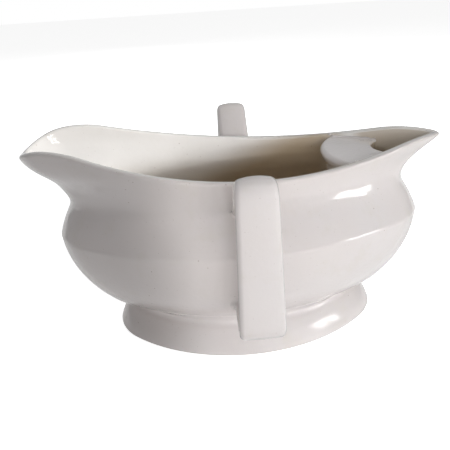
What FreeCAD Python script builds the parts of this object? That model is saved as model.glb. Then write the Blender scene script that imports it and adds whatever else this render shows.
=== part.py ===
import FreeCAD, Part
import math
import os

import Sketcher

# A glazed earthenware sauce boat with two pouring lips.  The wide lip at -X pours from the open
# bowl.  The narrow lip at +X pours only what comes up the duct behind the separator, which is open
# at its foot.  Millimetres, +Z up, origin at the centre of the foot's resting plane, +X towards the
# narrow lip, -Y towards the front handle.

doc = FreeCAD.newDocument("sauce_boat")
V = FreeCAD.Vector

# ---------------------------------------------------------------- driving dimensions
# Horizontal sections through the outside of the bowl above its widest place.  Each is an oval of
# six tangent arcs: its height, its reach to -X and to +X, its half width, the radius of its -X and
# +X ends, and how far its widest place lies towards -X.
SECTIONS = {
    "shoulder": (70.0, 93.0, 92.5, 49.5, 28.0, 27.0, 1.0),
    "neck": (78.0, 89.5, 88.8, 43.0, 24.0, 22.0, 3.0),
    "throat": (85.0, 92.3, 92.5, 41.8, 22.0, 15.0, 6.0),
    "flare": (91.0, 97.6, 103.0, 42.9, 23.5, 10.0, 9.5),
    "brim": (98.0, 106.2, 112.7, 44.2, 26.5, 6.5, 12.0),
    "lip": (105.0, 111.2, 114.6, 44.6, 27.0, 6.0, 12.0),
    "above": (112.0, 114.2, 115.0, 44.8, 27.0, 6.0, 12.0),
}
COLUMNS = ("up", "left", "right", "wide", "left_round", "right_round", "shift")

# The belly's ovals, as fractions of the height from the seat on the foot to the widest place.
BELLY = (0.0, 0.07, 0.18, 0.36, 0.6, 0.85, 1.0)
FLOOR = (0.0, 0.08, 0.2, 0.4, 0.65, 1.0)

SIZES = {
    "least_round": 3.4,
    # belly: half an ellipse in both side views, from the seat up to the widest place
    "seat_up": 18.0,
    "widest_up": 61.0,
    "belly_long": 97.0,
    "belly_wide": 55.8,
    "belly_depth": 65.0,
    "belly_wide_depth": 61.0,
    "belly_end": 1.15,
    "wall": 4.5,
    "floor_up": 23.0,
    "lip_wall": 2.4,
    # the rim seen from the side: a hump over each lip and a long valley between them
    "rim_left_x": 91.0,
    "rim_left_up": 109.6,
    "rim_tip_radius": 30.0,
    "rim_hump_radius": 60.0,
    "rim_valley_x": 24.0,
    "rim_valley_up": 91.8,
    "rim_right_x": 97.0,
    "rim_right_up": 98.5,
    "rim_cut_x": 119.0,
    "rim_cut_up": 150.0,
    "rim_edge": 1.8,
    # foot: half length, half width and height of each ring of its hollow profile
    "foot_long": 74.0,
    "foot_wide": 49.3,
    "foot_toe": 2.5,
    "foot_toe_in": 0.5,
    "foot_ridge_up": 12.0,
    "foot_ridge_in": 6.5,
    "foot_waist_up": 15.5,
    "foot_waist_in": 9.2,
    "foot_seat_in": 10.0,
    "foot_wall": 6.0,
    # handles
    "handle_x": 2.5,
    "handle_reach": 80.0,
    "handle_top": 106.0,
    "handle_bottom": 28.5,
    "handle_thick": 6.0,
    "handle_rise": 40.0,
    "handle_root_upper": 36.0,
    "handle_root_lower": 46.0,
    "handle_top_round": 8.0,
    "handle_bottom_round": 9.0,
    "handle_top_width": 17.5,
    "handle_bottom_width": 21.5,
    "handle_edge": 1.6,
    # separator: a level shelf with a rounded front edge over a leaning divider
    "shelf_up": 92.0,
    "shelf_thick": 5.0,
    "shelf_front_x": 46.0,
    "shelf_radius": 44.0,
    "shelf_back_x": 104.0,
    "shelf_half": 42.0,
    "shelf_edge": 2.5,
    "duct_x": 89.5,
    "duct_radius": 16.0,
    "divider_thick": 4.5,
    "divider_top": 89.5,
    "divider_lean": 16.0,
    "feed_gap": 9.0,
}


def make_sheet():
    """Write every driving dimension as a plain number with an alias."""
    table = doc.addObject("Spreadsheet::Sheet", "Sizes")
    row = 1
    values = dict(SIZES)
    for name, numbers in SECTIONS.items():
        for column, number in zip(COLUMNS, numbers):
            values[name + "_" + column] = number
    for alias, number in values.items():
        table.set("A%d" % row, alias)
        table.set("B%d" % row, str(number))
        table.setAlias("B%d" % row, alias)
        row += 1
    doc.recompute()
    return table


sheet = make_sheet()


def size(alias):
    return float(sheet.get(alias))


# ---------------------------------------------------------------- helpers
def new_body(name):
    body = doc.addObject("PartDesign::Body", name)
    body.Label = name
    return body


def plane(body, role):
    return next(f for f in body.Origin.OriginFeatures if f.Role == role)


def new_sketch(body, name, role, offset=None):
    """A sketch on one of the body's origin planes, lifted along the plane's normal by a formula."""
    sketch = body.newObject("Sketcher::SketchObject", name)
    sketch.AttachmentSupport = [(plane(body, role), "")]
    sketch.MapMode = "FlatFace"
    if offset:
        sketch.setExpression("AttachmentOffset.Base.z", offset)
    return sketch


def bound(sketch, kind, *where, to):
    """Add a dimension and bind it to a formula of the sheet's cells."""
    number = float(sketch.evalExpression(to))
    index = sketch.addConstraint(Sketcher.Constraint(kind, *where, number))
    sketch.setExpression("Constraints[%d]" % index, to)
    return index


def fixed(sketch, kind, *where):
    return sketch.addConstraint(Sketcher.Constraint(kind, *where))


def arc(sketch, centre, radius, start, end):
    circle = Part.Circle(V(centre[0], centre[1], 0), V(0, 0, 1), radius)
    return sketch.addGeometry(Part.ArcOfCircle(circle, start, end), False)


# ---------------------------------------------------------------- six-arc ovals
def side_arc(reach, end_radius, wide):
    """Centre height, radius and end angle of the long arc between the widest place and an end."""
    run = reach - end_radius
    radius = (run ** 2 + wide ** 2 - end_radius ** 2) / (2 * (wide - end_radius))
    drop = wide - radius
    return drop, radius, math.atan2(-drop, run)


def oval(left, right, wide, left_round, right_round, shift="0"):
    """The six formulas that define a horizontal oval."""
    return {
        "left": left,
        "right": right,
        "wide": wide,
        "left_round": left_round,
        "right_round": right_round,
        "shift": shift,
    }


def section_oval(section, inset="0", tip_inset="0"):
    """A section of the outside, moved inwards by inset, and by tip_inset more at its two ends."""
    def cell(column):
        return "Sizes.%s_%s" % (section, column)

    return oval(
        "%s - %s - %s" % (cell("left"), inset, tip_inset),
        "%s - %s - %s" % (cell("right"), inset, tip_inset),
        "%s - %s" % (cell("wide"), inset),
        "%s - %s" % (cell("left_round"), inset),
        "max(%s - %s; Sizes.least_round)" % (cell("right_round"), inset),
        cell("shift"),
    )


def ellipse(long, wide, fuller="1"):
    """An oval whose ends are as round as an ellipse's, or fuller by a factor."""
    end = "(%s) * (%s) / (%s) * %s" % (wide, wide, long, fuller)
    return oval(long, long, wide, end, end)


def belly_oval(lift, inset):
    """The belly's oval at the height lift, inside it where inset is the wall."""
    def reach(most, depth):
        drop = "((Sizes.widest_up - %s) / (%s - %s))" % (lift, depth, inset)
        return "(%s - %s) * sqrt(1 - %s ^ 2)" % (most, inset, drop)

    long = reach("Sizes.belly_long", "Sizes.belly_depth")
    wide = reach("Sizes.belly_wide", "Sizes.belly_wide_depth")
    return ellipse(long, wide, "Sizes.belly_end")


def belly_sketches(body, name, bottom, fractions, inset):
    """The belly's ovals from the height bottom up to the widest place."""
    sketches = []
    for number, fraction in enumerate(fractions):
        lift = "(%s + %s * (Sizes.widest_up - %s))" % (bottom, fraction, bottom)
        sketch_name = "%s_belly_%d" % (name, number)
        sketches.append(oval_sketch(body, sketch_name, lift, belly_oval(lift, inset)))
    return sketches


def oval_sketch(body, name, lift, formulas):
    """Draw an oval of six tangent arcs and bind it to its formulas."""
    sketch = new_sketch(body, name, "XY_Plane", lift)
    value = {key: float(sketch.evalExpression(text)) for key, text in formulas.items()}
    shift, wide = value["shift"], value["wide"]
    right_drop, right_radius, right_turn = side_arc(value["right"] + shift, value["right_round"], wide)
    left_drop, left_radius, left_turn = side_arc(value["left"] - shift, value["left_round"], wide)
    right_end = value["right"] - value["right_round"]
    left_end = value["left_round"] - value["left"]
    pi = math.pi
    # counter-clockwise from the +X end: end, far side, far side, end, near side, near side
    arc(sketch, (right_end, 0), value["right_round"], -right_turn, right_turn)
    arc(sketch, (-shift, right_drop), right_radius, right_turn, pi / 2)
    arc(sketch, (-shift, left_drop), left_radius, pi / 2, pi - left_turn)
    arc(sketch, (left_end, 0), value["left_round"], pi - left_turn, pi + left_turn)
    arc(sketch, (-shift, -left_drop), left_radius, pi + left_turn, pi * 1.5)
    arc(sketch, (-shift, -right_drop), right_radius, pi * 1.5, 2 * pi - right_turn)
    for first in range(6):
        fixed(sketch, "Tangent", first, 2, (first + 1) % 6, 1)
    for end in (0, 3):
        fixed(sketch, "PointOnObject", end, 3, -1)
    for side in (1, 4):
        fixed(sketch, "Vertical", side, 3, side, 2)
    bound(sketch, "DistanceX", -1, 1, 0, 3, to="%s - (%s)" % (formulas["right"], formulas["right_round"]))
    bound(sketch, "DistanceX", 3, 3, -1, 1, to="%s - (%s)" % (formulas["left"], formulas["left_round"]))
    bound(sketch, "Radius", 0, to=formulas["right_round"])
    bound(sketch, "Radius", 3, to=formulas["left_round"])
    bound(sketch, "DistanceY", -1, 1, 1, 2, to=formulas["wide"])
    bound(sketch, "DistanceY", 4, 2, -1, 1, to=formulas["wide"])
    if shift:
        bound(sketch, "DistanceX", 1, 2, -1, 1, to=formulas["shift"])
        bound(sketch, "DistanceX", 4, 2, -1, 1, to=formulas["shift"])
    else:
        fixed(sketch, "PointOnObject", 1, 2, -2)
        fixed(sketch, "PointOnObject", 4, 2, -2)
    return sketch


def loft(body, kind, name, sketches):
    """A smooth solid, added or subtracted, through a stack of sketches."""
    feature = body.newObject("PartDesign::%sLoft" % kind, name)
    feature.Profile = sketches[0]
    feature.Sections = sketches[1:]
    feature.Ruled = False
    return feature


# ---------------------------------------------------------------- bowl
def marked(sketch, edge, at, up):
    """Fix an arc's highest or lowest point, at x = at and z = up, with a construction point."""
    spot = V(float(sketch.evalExpression(at)), float(sketch.evalExpression(up)), 0)
    point = sketch.addGeometry(Part.Point(spot), True)
    fixed(sketch, "PointOnObject", point, 1, edge)
    fixed(sketch, "Vertical", point, 1, edge, 3)
    bound(sketch, "DistanceX", -1, 1, point, 1, to=at)
    bound(sketch, "DistanceY", -1, 1, point, 1, to=up)


def rim_sketch(body):
    """All that lies above the rim, seen from the side: tip, hump, valley and hump, then a box."""
    sketch = new_sketch(body, "rim_profile", "XZ_Plane")
    left = V(-size("rim_left_x"), size("rim_left_up"), 0)
    valley = V(size("rim_valley_x"), size("rim_valley_up"), 0)
    right = V(size("rim_right_x"), size("rim_right_up"), 0)
    tip, hump = size("rim_tip_radius"), size("rim_hump_radius")
    cut_x, cut_up = size("rim_cut_x"), size("rim_cut_up")
    run, rise = valley.x - left.x, left.y - valley.y
    big = (run ** 2 + rise ** 2) / (2 * rise) - hump
    run_right, rise_right = right.x - valley.x, right.y - valley.y
    small = (run_right ** 2 + rise_right ** 2) / (2 * rise_right) - big
    turn = math.asin(run / (big + hump))
    turn_right = math.asin(run_right / (big + small))
    up = math.pi / 2
    tip_turn = math.asin((cut_x + left.x) / tip)
    end_turn = math.asin((cut_x - right.x) / small)
    arc(sketch, (left.x, left.y - tip), tip, up, up + tip_turn)
    arc(sketch, (left.x, left.y - hump), hump, up - turn, up)
    arc(sketch, (valley.x, valley.y + big), big, -up - turn, -up + turn_right)
    arc(sketch, (right.x, right.y - small), small, up - end_turn, up + turn_right)
    corners = [sketch.getPoint(0, 2), V(-cut_x, cut_up, 0), V(cut_x, cut_up, 0), sketch.getPoint(3, 1)]
    for start, end in zip(corners, corners[1:]):
        sketch.addGeometry(Part.LineSegment(start, end), False)
    for joint in ((0, 1, 1, 2), (1, 1, 2, 1), (2, 2, 3, 2)):
        fixed(sketch, "Tangent", *joint)
    for joint in ((0, 2, 4, 1), (4, 2, 5, 1), (5, 2, 6, 1), (6, 2, 3, 1)):
        fixed(sketch, "Coincident", *joint)
    fixed(sketch, "Vertical", 4)
    fixed(sketch, "Horizontal", 5)
    fixed(sketch, "Vertical", 6)
    fixed(sketch, "Vertical", 0, 3, 0, 1)
    bound(sketch, "DistanceX", 0, 1, -1, 1, to="Sizes.rim_left_x")
    bound(sketch, "DistanceY", -1, 1, 0, 1, to="Sizes.rim_left_up")
    bound(sketch, "Radius", 0, to="Sizes.rim_tip_radius")
    bound(sketch, "Radius", 1, to="Sizes.rim_hump_radius")
    marked(sketch, 2, "Sizes.rim_valley_x", "Sizes.rim_valley_up")
    marked(sketch, 3, "Sizes.rim_right_x", "Sizes.rim_right_up")
    bound(sketch, "DistanceX", 0, 2, -1, 1, to="Sizes.rim_cut_x")
    bound(sketch, "DistanceX", -1, 1, 3, 1, to="Sizes.rim_cut_x")
    bound(sketch, "DistanceY", -1, 1, 4, 2, to="Sizes.rim_cut_up")
    return sketch


def make_outside():
    """The bowl's outside as a full solid, cut along the rim."""
    body = new_body("bowl_outside")
    sketches = belly_sketches(body, "outside", "Sizes.seat_up", BELLY, "0")
    for section in SECTIONS:
        lift = "Sizes.%s_up" % section
        sketches.append(oval_sketch(body, "outside_" + section, lift, section_oval(section)))
    loft(body, "Additive", "outside_loft", sketches)
    doc.recompute()
    full = body.Shape.Volume
    pocket = body.newObject("PartDesign::Pocket", "rim_cut")
    pocket.Profile = rim_sketch(body)
    pocket.Type = "ThroughAll"
    pocket.SideType = "Symmetric"
    doc.recompute()
    assert body.Shape.Volume < full - 1.0, "the rim cut took nothing away"
    return body


def make_hollow():
    """The space inside the bowl, standing past the rim."""
    body = new_body("bowl_inside")
    sketches = belly_sketches(body, "inside", "Sizes.floor_up", FLOOR, "Sizes.wall")
    tips = {"throat": "Sizes.lip_wall / 2", "flare": "Sizes.lip_wall"}
    for section in SECTIONS:
        lift = "Sizes.%s_up" % section
        formulas = section_oval(section, "Sizes.wall", tips.get(section, "0"))
        sketches.append(oval_sketch(body, "inside_" + section, lift, formulas))
    loft(body, "Additive", "inside_loft", sketches)
    doc.recompute()
    return body


def boolean(kind, name, base, tool):
    feature = doc.addObject("Part::" + kind, name)
    feature.Base = base
    feature.Tool = tool
    doc.recompute()
    return feature


def rounded_rim(name, shell):
    """Round the outer edge of the cut along the rim."""
    shape = shell.Shape
    numbers = []
    for number, edge in enumerate(shape.Edges, 1):
        faces = shape.ancestorsOfType(edge, Part.Face)
        sides = [face for face in faces if not is_rim_face(face)]
        if len(sides) == 1 and faces_outwards(sides[0], edge):
            numbers.append(number)
    feature = doc.addObject("Part::Fillet", name)
    feature.Base = shell
    feature.Edges = [(number, size("rim_edge"), size("rim_edge")) for number in numbers]
    doc.recompute()
    return feature


def faces_outwards(face, edge):
    """True where the face looks away from the bowl's middle half way along the edge."""
    spot = edge.valueAt((edge.FirstParameter + edge.LastParameter) / 2)
    normal = face.normalAt(*face.Surface.parameter(spot))
    return normal.x * spot.x + normal.y * spot.y > 0


def is_rim_face(face):
    """True for a face that the rim cut made: its normal has no part along Y anywhere."""
    low_u, high_u, low_v, high_v = face.ParameterRange
    spots = [(0.2, 0.3), (0.5, 0.5), (0.8, 0.7)]
    normals = [face.normalAt(low_u + a * (high_u - low_u), low_v + b * (high_v - low_v)) for a, b in spots]
    upward = all(abs(normal.y) < 1e-4 and normal.z > 0.1 for normal in normals)
    return upward and face.BoundBox.ZMin > size("neck_up")


# ---------------------------------------------------------------- foot
def make_foot():
    """A hollow oval foot: a flared ring from the resting plane up to the flat seat."""
    body = new_body("foot_ring")

    def ring(name, lift, inwards):
        shape = ellipse("Sizes.foot_long - %s" % inwards, "Sizes.foot_wide - %s" % inwards)
        return oval_sketch(body, name, lift, shape)

    outer = [
        ring("foot_base", "0", "0"),
        ring("foot_toe", "Sizes.foot_toe", "Sizes.foot_toe_in"),
        ring("foot_ridge", "Sizes.foot_ridge_up", "Sizes.foot_ridge_in"),
        ring("foot_waist", "Sizes.foot_waist_up", "Sizes.foot_waist_in"),
        ring("foot_top", "Sizes.seat_up", "Sizes.foot_seat_in"),
    ]
    loft(body, "Additive", "foot_outside", outer)
    doc.recompute()
    full = body.Shape.Volume
    inner = [
        ring("hollow_base", "0", "Sizes.foot_wall"),
        ring("hollow_ridge", "Sizes.foot_ridge_up", "(Sizes.foot_ridge_in + Sizes.foot_wall)"),
        ring("hollow_top", "Sizes.seat_up", "(Sizes.foot_seat_in + Sizes.foot_wall)"),
    ]
    loft(body, "Subtractive", "foot_hollow", inner)
    doc.recompute()
    assert body.Shape.Volume < full - 1.0, "the foot is not hollow"
    return body


# ---------------------------------------------------------------- handles
def strap_sketch(body):
    """The side of the strap: out and up from the rim, straight down, and back in to the bowl."""
    sketch = new_sketch(body, "strap_side", "YZ_Plane")
    reach, top, bottom = size("handle_reach"), size("handle_top"), size("handle_bottom")
    thick = size("handle_thick")
    rise = math.radians(size("handle_rise"))
    root, foot = size("handle_root_upper"), size("handle_root_lower")
    upper, lower = size("handle_top_round"), size("handle_bottom_round")
    high = V(reach - upper, top - upper, 0)
    low = V(reach - lower, bottom + lower, 0)
    lean = math.pi / 2 + rise
    along = V(-math.cos(rise), -math.sin(rise), 0)
    across = V(math.cos(lean), math.sin(lean), 0)
    for inwards in (0.0, thick):
        start = high + across * (upper - inwards)
        begin = start + along * ((start.x - root) / math.cos(rise))
        arc(sketch, high, upper - inwards, 0, lean)
        arc(sketch, low, lower - inwards, -math.pi / 2, 0)
        side = V(reach - inwards, 0, 0)
        level = V(0, bottom + inwards, 0)
        sketch.addGeometry(Part.LineSegment(begin, start), False)
        sketch.addGeometry(Part.LineSegment(V(side.x, high.y, 0), V(side.x, low.y, 0)), False)
        sketch.addGeometry(Part.LineSegment(V(low.x, level.y, 0), V(foot, level.y, 0)), False)
    # edges 0 to 4 are the outer arcs and lines, 5 to 9 the inner ones
    for first in (0, 5):
        top_arc, low_arc, leg, drop, return_leg = range(first, first + 5)
        fixed(sketch, "Tangent", leg, 2, top_arc, 2)
        fixed(sketch, "Tangent", top_arc, 1, drop, 1)
        fixed(sketch, "Tangent", drop, 2, low_arc, 2)
        fixed(sketch, "Tangent", low_arc, 1, return_leg, 1)
        fixed(sketch, "Vertical", drop)
        fixed(sketch, "Horizontal", return_leg)
        bound(sketch, "DistanceX", -1, 1, leg, 1, to="Sizes.handle_root_upper")
        bound(sketch, "DistanceX", -1, 1, return_leg, 2, to="Sizes.handle_root_lower")
    fixed(sketch, "Coincident", 0, 3, 5, 3)
    fixed(sketch, "Coincident", 1, 3, 6, 3)
    fixed(sketch, "Parallel", 2, 7)
    sketch.addGeometry(Part.LineSegment(sketch.getPoint(2, 1), sketch.getPoint(7, 1)), False)
    sketch.addGeometry(Part.LineSegment(sketch.getPoint(4, 2), sketch.getPoint(9, 2)), False)
    for joint in ((10, 1, 2, 1), (10, 2, 7, 1), (11, 1, 4, 2), (11, 2, 9, 2)):
        fixed(sketch, "Coincident", *joint)
    bound(sketch, "Radius", 0, to="Sizes.handle_top_round")
    bound(sketch, "Radius", 1, to="Sizes.handle_bottom_round")
    bound(sketch, "Radius", 5, to="Sizes.handle_top_round - Sizes.handle_thick")
    bound(sketch, "DistanceX", -1, 1, 0, 3, to="Sizes.handle_reach - Sizes.handle_top_round")
    bound(sketch, "DistanceY", -1, 1, 0, 3, to="Sizes.handle_top - Sizes.handle_top_round")
    bound(sketch, "DistanceY", -1, 1, 1, 3, to="Sizes.handle_bottom + Sizes.handle_bottom_round")
    bound(sketch, "Angle", 2, to="Sizes.handle_rise * 1 deg")
    return sketch


def taper_sketch(body):
    """What the strap loses at its sides to be narrower at the top than at the bottom."""
    sketch = new_sketch(body, "strap_taper", "XZ_Plane")
    top, bottom = size("handle_top"), size("handle_bottom")
    narrow, broad = size("handle_top_width") / 2, size("handle_bottom_width") / 2
    for side in (-1, 1):
        corners = [V(side * broad, bottom, 0), V(side * broad, top, 0), V(side * narrow, top, 0)]
        first = 3 * (side + 1) // 2
        for start, end in zip(corners, corners[1:] + corners[:1]):
            sketch.addGeometry(Part.LineSegment(start, end), False)
        for edge in range(3):
            fixed(sketch, "Coincident", first + edge, 2, first + (edge + 1) % 3, 1)
        fixed(sketch, "Vertical", first)
        fixed(sketch, "Horizontal", first + 1)
        bound(sketch, "DistanceY", -1, 1, first, 1, to="Sizes.handle_bottom")
        bound(sketch, "DistanceY", -1, 1, first, 2, to="Sizes.handle_top")
        for corner, half in (((first, 1), "handle_bottom_width"), ((first + 1, 2), "handle_top_width")):
            ends = ((-1, 1) + corner) if side > 0 else (corner + (-1, 1))
            bound(sketch, "DistanceX", *ends, to="Sizes.%s / 2" % half)
    return sketch


def make_strap():
    """The whole strap before it is fitted to the bowl, on the rear side."""
    body = new_body("handle_strap")
    pad = body.newObject("PartDesign::Pad", "strap")
    pad.Profile = strap_sketch(body)
    pad.SideType = "Symmetric"
    pad.setExpression("Length", "Sizes.handle_bottom_width")
    doc.recompute()
    full = body.Shape.Volume
    pocket = body.newObject("PartDesign::Pocket", "strap_taper_cut")
    pocket.Profile = taper_sketch(body)
    pocket.Type = "ThroughAll"
    pocket.SideType = "Symmetric"
    doc.recompute()
    assert body.Shape.Volume < full - 1.0, "the strap has no taper"
    edges = []
    for number, edge in enumerate(pocket.Shape.Edges, 1):
        across = abs(edge.BoundBox.XLength) > size("handle_top_width") / 2
        if not across and edge.BoundBox.DiagonalLength > size("handle_thick") * 1.05:
            edges.append("Edge%d" % number)
    rounding = body.newObject("PartDesign::Fillet", "strap_edges")
    rounding.Base = (pocket, edges)
    rounding.setExpression("Radius", "Sizes.handle_edge")
    body.setExpression("Placement.Base.x", "Sizes.handle_x")
    doc.recompute()
    return body


# ---------------------------------------------------------------- separator
def shelf_sketch(body):
    """The shelf from above: a round front edge and a slot for the duct, open to the +X lip."""
    sketch = new_sketch(body, "shelf_outline", "XY_Plane", "Sizes.shelf_up - Sizes.shelf_thick")
    front, radius, back = size("shelf_front_x"), size("shelf_radius"), size("shelf_back_x")
    half, duct, hole = size("shelf_half"), size("duct_x"), size("duct_radius")
    sweep = math.asin(half / radius)
    side_x = front + radius - radius * math.cos(sweep)
    arc(sketch, (front + radius, 0), radius, math.pi - sweep, math.pi + sweep)
    arc(sketch, (duct, 0), hole, math.pi / 2, math.pi * 1.5)
    corners = [V(side_x, -half, 0), V(back, -half, 0), V(back, -hole, 0), V(duct, -hole, 0)]
    for start, end in zip(corners, corners[1:]):
        sketch.addGeometry(Part.LineSegment(start, end), False)
    corners = [V(corner.x, -corner.y, 0) for corner in reversed(corners)]
    for start, end in zip(corners, corners[1:]):
        sketch.addGeometry(Part.LineSegment(start, end), False)
    loop = [(0, 2, 2, 1), (2, 2, 3, 1), (3, 2, 4, 1), (5, 2, 6, 1), (6, 2, 7, 1), (7, 2, 0, 1)]
    for joint in loop:
        fixed(sketch, "Coincident", *joint)
    fixed(sketch, "Tangent", 4, 2, 1, 2)
    fixed(sketch, "Tangent", 5, 1, 1, 1)
    for level in (2, 4, 5, 7):
        fixed(sketch, "Horizontal", level)
    for upright in (3, 6):
        fixed(sketch, "Vertical", upright)
        bound(sketch, "DistanceX", -1, 1, upright, 1, to="Sizes.shelf_back_x")
    fixed(sketch, "PointOnObject", 0, 3, -1)
    fixed(sketch, "PointOnObject", 1, 3, -1)
    bound(sketch, "Radius", 0, to="Sizes.shelf_radius")
    bound(sketch, "Radius", 1, to="Sizes.duct_radius")
    bound(sketch, "DistanceX", -1, 1, 0, 3, to="Sizes.shelf_front_x + Sizes.shelf_radius")
    bound(sketch, "DistanceX", -1, 1, 1, 3, to="Sizes.duct_x")
    bound(sketch, "DistanceY", 2, 1, -1, 1, to="Sizes.shelf_half")
    bound(sketch, "DistanceY", -1, 1, 7, 2, to="Sizes.shelf_half")
    return sketch


def divider_sketch(body, name, lift, lean):
    """One level of the divider: a crescent between two arcs about the same centre."""
    sketch = new_sketch(body, name, "XY_Plane", lift)
    outer, thick, half = size("shelf_radius"), size("divider_thick"), size("shelf_half")
    centre = size("shelf_front_x") + outer + float(sketch.evalExpression(lean))
    inner = outer - thick
    sweep = math.asin(half / outer)
    arc(sketch, (centre, 0), outer, math.pi - sweep, math.pi + sweep)
    arc(sketch, (centre, 0), inner, math.pi - sweep, math.pi + sweep)
    for end in (1, 2):
        sketch.addGeometry(Part.LineSegment(sketch.getPoint(0, end), sketch.getPoint(1, end)), False)
        fixed(sketch, "Coincident", end + 1, 1, 0, end)
        fixed(sketch, "Coincident", end + 1, 2, 1, end)
        fixed(sketch, "PointOnObject", 0, 3, end + 1)
    fixed(sketch, "Coincident", 0, 3, 1, 3)
    fixed(sketch, "PointOnObject", 0, 3, -1)
    bound(sketch, "DistanceX", -1, 1, 0, 3, to="Sizes.shelf_front_x + Sizes.shelf_radius + %s" % lean)
    bound(sketch, "Radius", 0, to="Sizes.shelf_radius")
    bound(sketch, "Radius", 1, to="Sizes.shelf_radius - Sizes.divider_thick")
    bound(sketch, "DistanceY", -1, 1, 0, 1, to="Sizes.shelf_half")
    bound(sketch, "DistanceY", 0, 2, -1, 1, to="Sizes.shelf_half")
    return sketch


def make_divider():
    """The shelf and its leaning divider, before they are fitted to the inside of the bowl."""
    body = new_body("separator_blank")
    pad = body.newObject("PartDesign::Pad", "shelf")
    pad.Profile = shelf_sketch(body)
    pad.setExpression("Length", "Sizes.shelf_thick")
    doc.recompute()
    top = size("shelf_up")
    edges = []
    for number, edge in enumerate(pad.Shape.Edges, 1):
        box = edge.BoundBox
        curved = hasattr(edge.Curve, "Radius") and box.ZLength < 0.01
        if curved and box.ZMin > top - 0.01 and edge.Curve.Radius > size("duct_radius") + 1:
            edges.append("Edge%d" % number)
    rounding = body.newObject("PartDesign::Fillet", "shelf_front_edge")
    rounding.Base = (pad, edges)
    rounding.setExpression("Radius", "Sizes.shelf_edge")
    doc.recompute()
    low = "Sizes.floor_up + Sizes.feed_gap"
    levels = [
        divider_sketch(body, "divider_foot", low, "Sizes.divider_lean"),
        divider_sketch(body, "divider_head", "Sizes.divider_top", "0.8"),
    ]
    loft(body, "Additive", "divider", levels)
    doc.recompute()
    return body


# ---------------------------------------------------------------- assembly
outside = make_outside()
inside = make_hollow()
bowl = rounded_rim("bowl_shell", boolean("Cut", "bowl_unrounded", outside, inside))
foot = make_foot()
strap = make_strap()
rear = boolean("Cut", "rear_handle", strap, outside)
front = doc.addObject("Part::Mirroring", "front_handle")
front.Source = rear
front.Normal = V(0, 1, 0)
separator = boolean("Common", "separator", make_divider(), inside)
doc.recompute()


def check(feature):
    """Stop if an object failed or a piece's shape is missing or broken."""
    bad = [word for word in feature.State if word in ("Invalid", "Error")]
    assert not bad, "%s is %s" % (feature.Name, bad)


for feature in doc.Objects:
    check(feature)

os.makedirs("parts", exist_ok=True)
for piece in (bowl, foot, front, rear, separator):
    shape = piece.Shape
    assert not shape.isNull() and shape.isValid(), piece.Label
    print(piece.Label, len(shape.Solids), "solid, volume", round(shape.Volume / 1000.0, 1), "cm3")
    shape.exportStep("parts/%s.step" % piece.Label)
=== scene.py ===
import math

import bmesh
import bpy
import numpy as np
from mathutils import Matrix, Vector
from mathutils.bvhtree import BVHTree


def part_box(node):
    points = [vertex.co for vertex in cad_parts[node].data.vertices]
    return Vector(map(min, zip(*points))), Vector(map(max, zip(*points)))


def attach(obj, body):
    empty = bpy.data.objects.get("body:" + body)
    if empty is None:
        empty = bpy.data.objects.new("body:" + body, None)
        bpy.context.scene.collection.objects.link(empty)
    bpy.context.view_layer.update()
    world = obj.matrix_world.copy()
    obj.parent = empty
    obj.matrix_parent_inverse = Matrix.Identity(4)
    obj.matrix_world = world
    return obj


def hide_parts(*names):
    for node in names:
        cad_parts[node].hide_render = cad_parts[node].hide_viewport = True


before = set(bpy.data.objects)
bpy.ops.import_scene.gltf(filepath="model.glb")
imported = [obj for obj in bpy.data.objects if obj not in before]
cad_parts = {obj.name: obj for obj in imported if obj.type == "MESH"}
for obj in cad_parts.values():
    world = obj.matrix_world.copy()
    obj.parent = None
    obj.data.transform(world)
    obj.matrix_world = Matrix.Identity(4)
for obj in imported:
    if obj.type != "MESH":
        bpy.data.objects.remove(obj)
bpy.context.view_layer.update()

# The looks of a white glazed sauce boat with two lips.  Lengths here are millimetres, and become
# metres when a mesh is made.  The five pieces stand for the five CAD nodes.
MM = 0.001


def node_box(name):
    """Lowest and highest corner of a CAD node in millimetres."""
    low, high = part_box(name)
    return np.array(low) / MM, np.array(high) / MM


BOWL_LOW, BOWL_HIGH = node_box("bowl_shell")
FOOT_HIGH = node_box("foot_ring")[1]
HANDLE_LOW, HANDLE_HIGH = node_box("rear_handle")
DIVIDER_LOW, DIVIDER_HIGH = node_box("separator")

# ---------------------------------------------------------------- the bowl's shape
WALL = 4.5
LIP_WALL = 2.4
LEAST_ROUND = 3.4
SEAT_UP = BOWL_LOW[2]
FLOOR_UP = SEAT_UP + 5.0
WIDEST_UP = 61.0
BELLY_LONG = 97.0
BELLY_WIDE = 55.8
BELLY_DEPTH = 65.0
BELLY_WIDE_DEPTH = 61.0
BELLY_END = 1.15
# The belly's ellipse is used down to this share of its depth, because it ends in a point.
DEEPEST = 0.99

# Ovals of the outside above the widest place: height, reach to -X, reach to +X, half width, radius
# of the -X end, radius of the +X end, and how far the widest place lies towards -X.
UPPER = np.array([
    (70.0, 93.0, 92.5, 49.5, 28.0, 27.0, 1.0),
    (78.0, 89.5, 88.8, 43.0, 24.0, 22.0, 3.0),
    (85.0, 92.3, 92.5, 41.8, 22.0, 15.0, 6.0),
    (91.0, 97.6, 103.0, 42.9, 23.5, 10.0, 9.5),
    (98.0, 106.2, 112.7, 44.2, 26.5, 6.5, 12.0),
    (105.0, 111.2, 114.6, 44.6, 27.0, 6.0, 12.0),
    (112.0, 114.2, 115.0, 44.8, 27.0, 6.0, 12.0),
])
# The first of these levels that belongs to the lips.
LIP_LEVEL = 3
# How much more the inside stands back from the two tips than from the rest, level by level.
TIP_WALL = np.array([0.0, 0.0, LIP_WALL / 2, LIP_WALL, 0.0, 0.0, 0.0])

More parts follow.
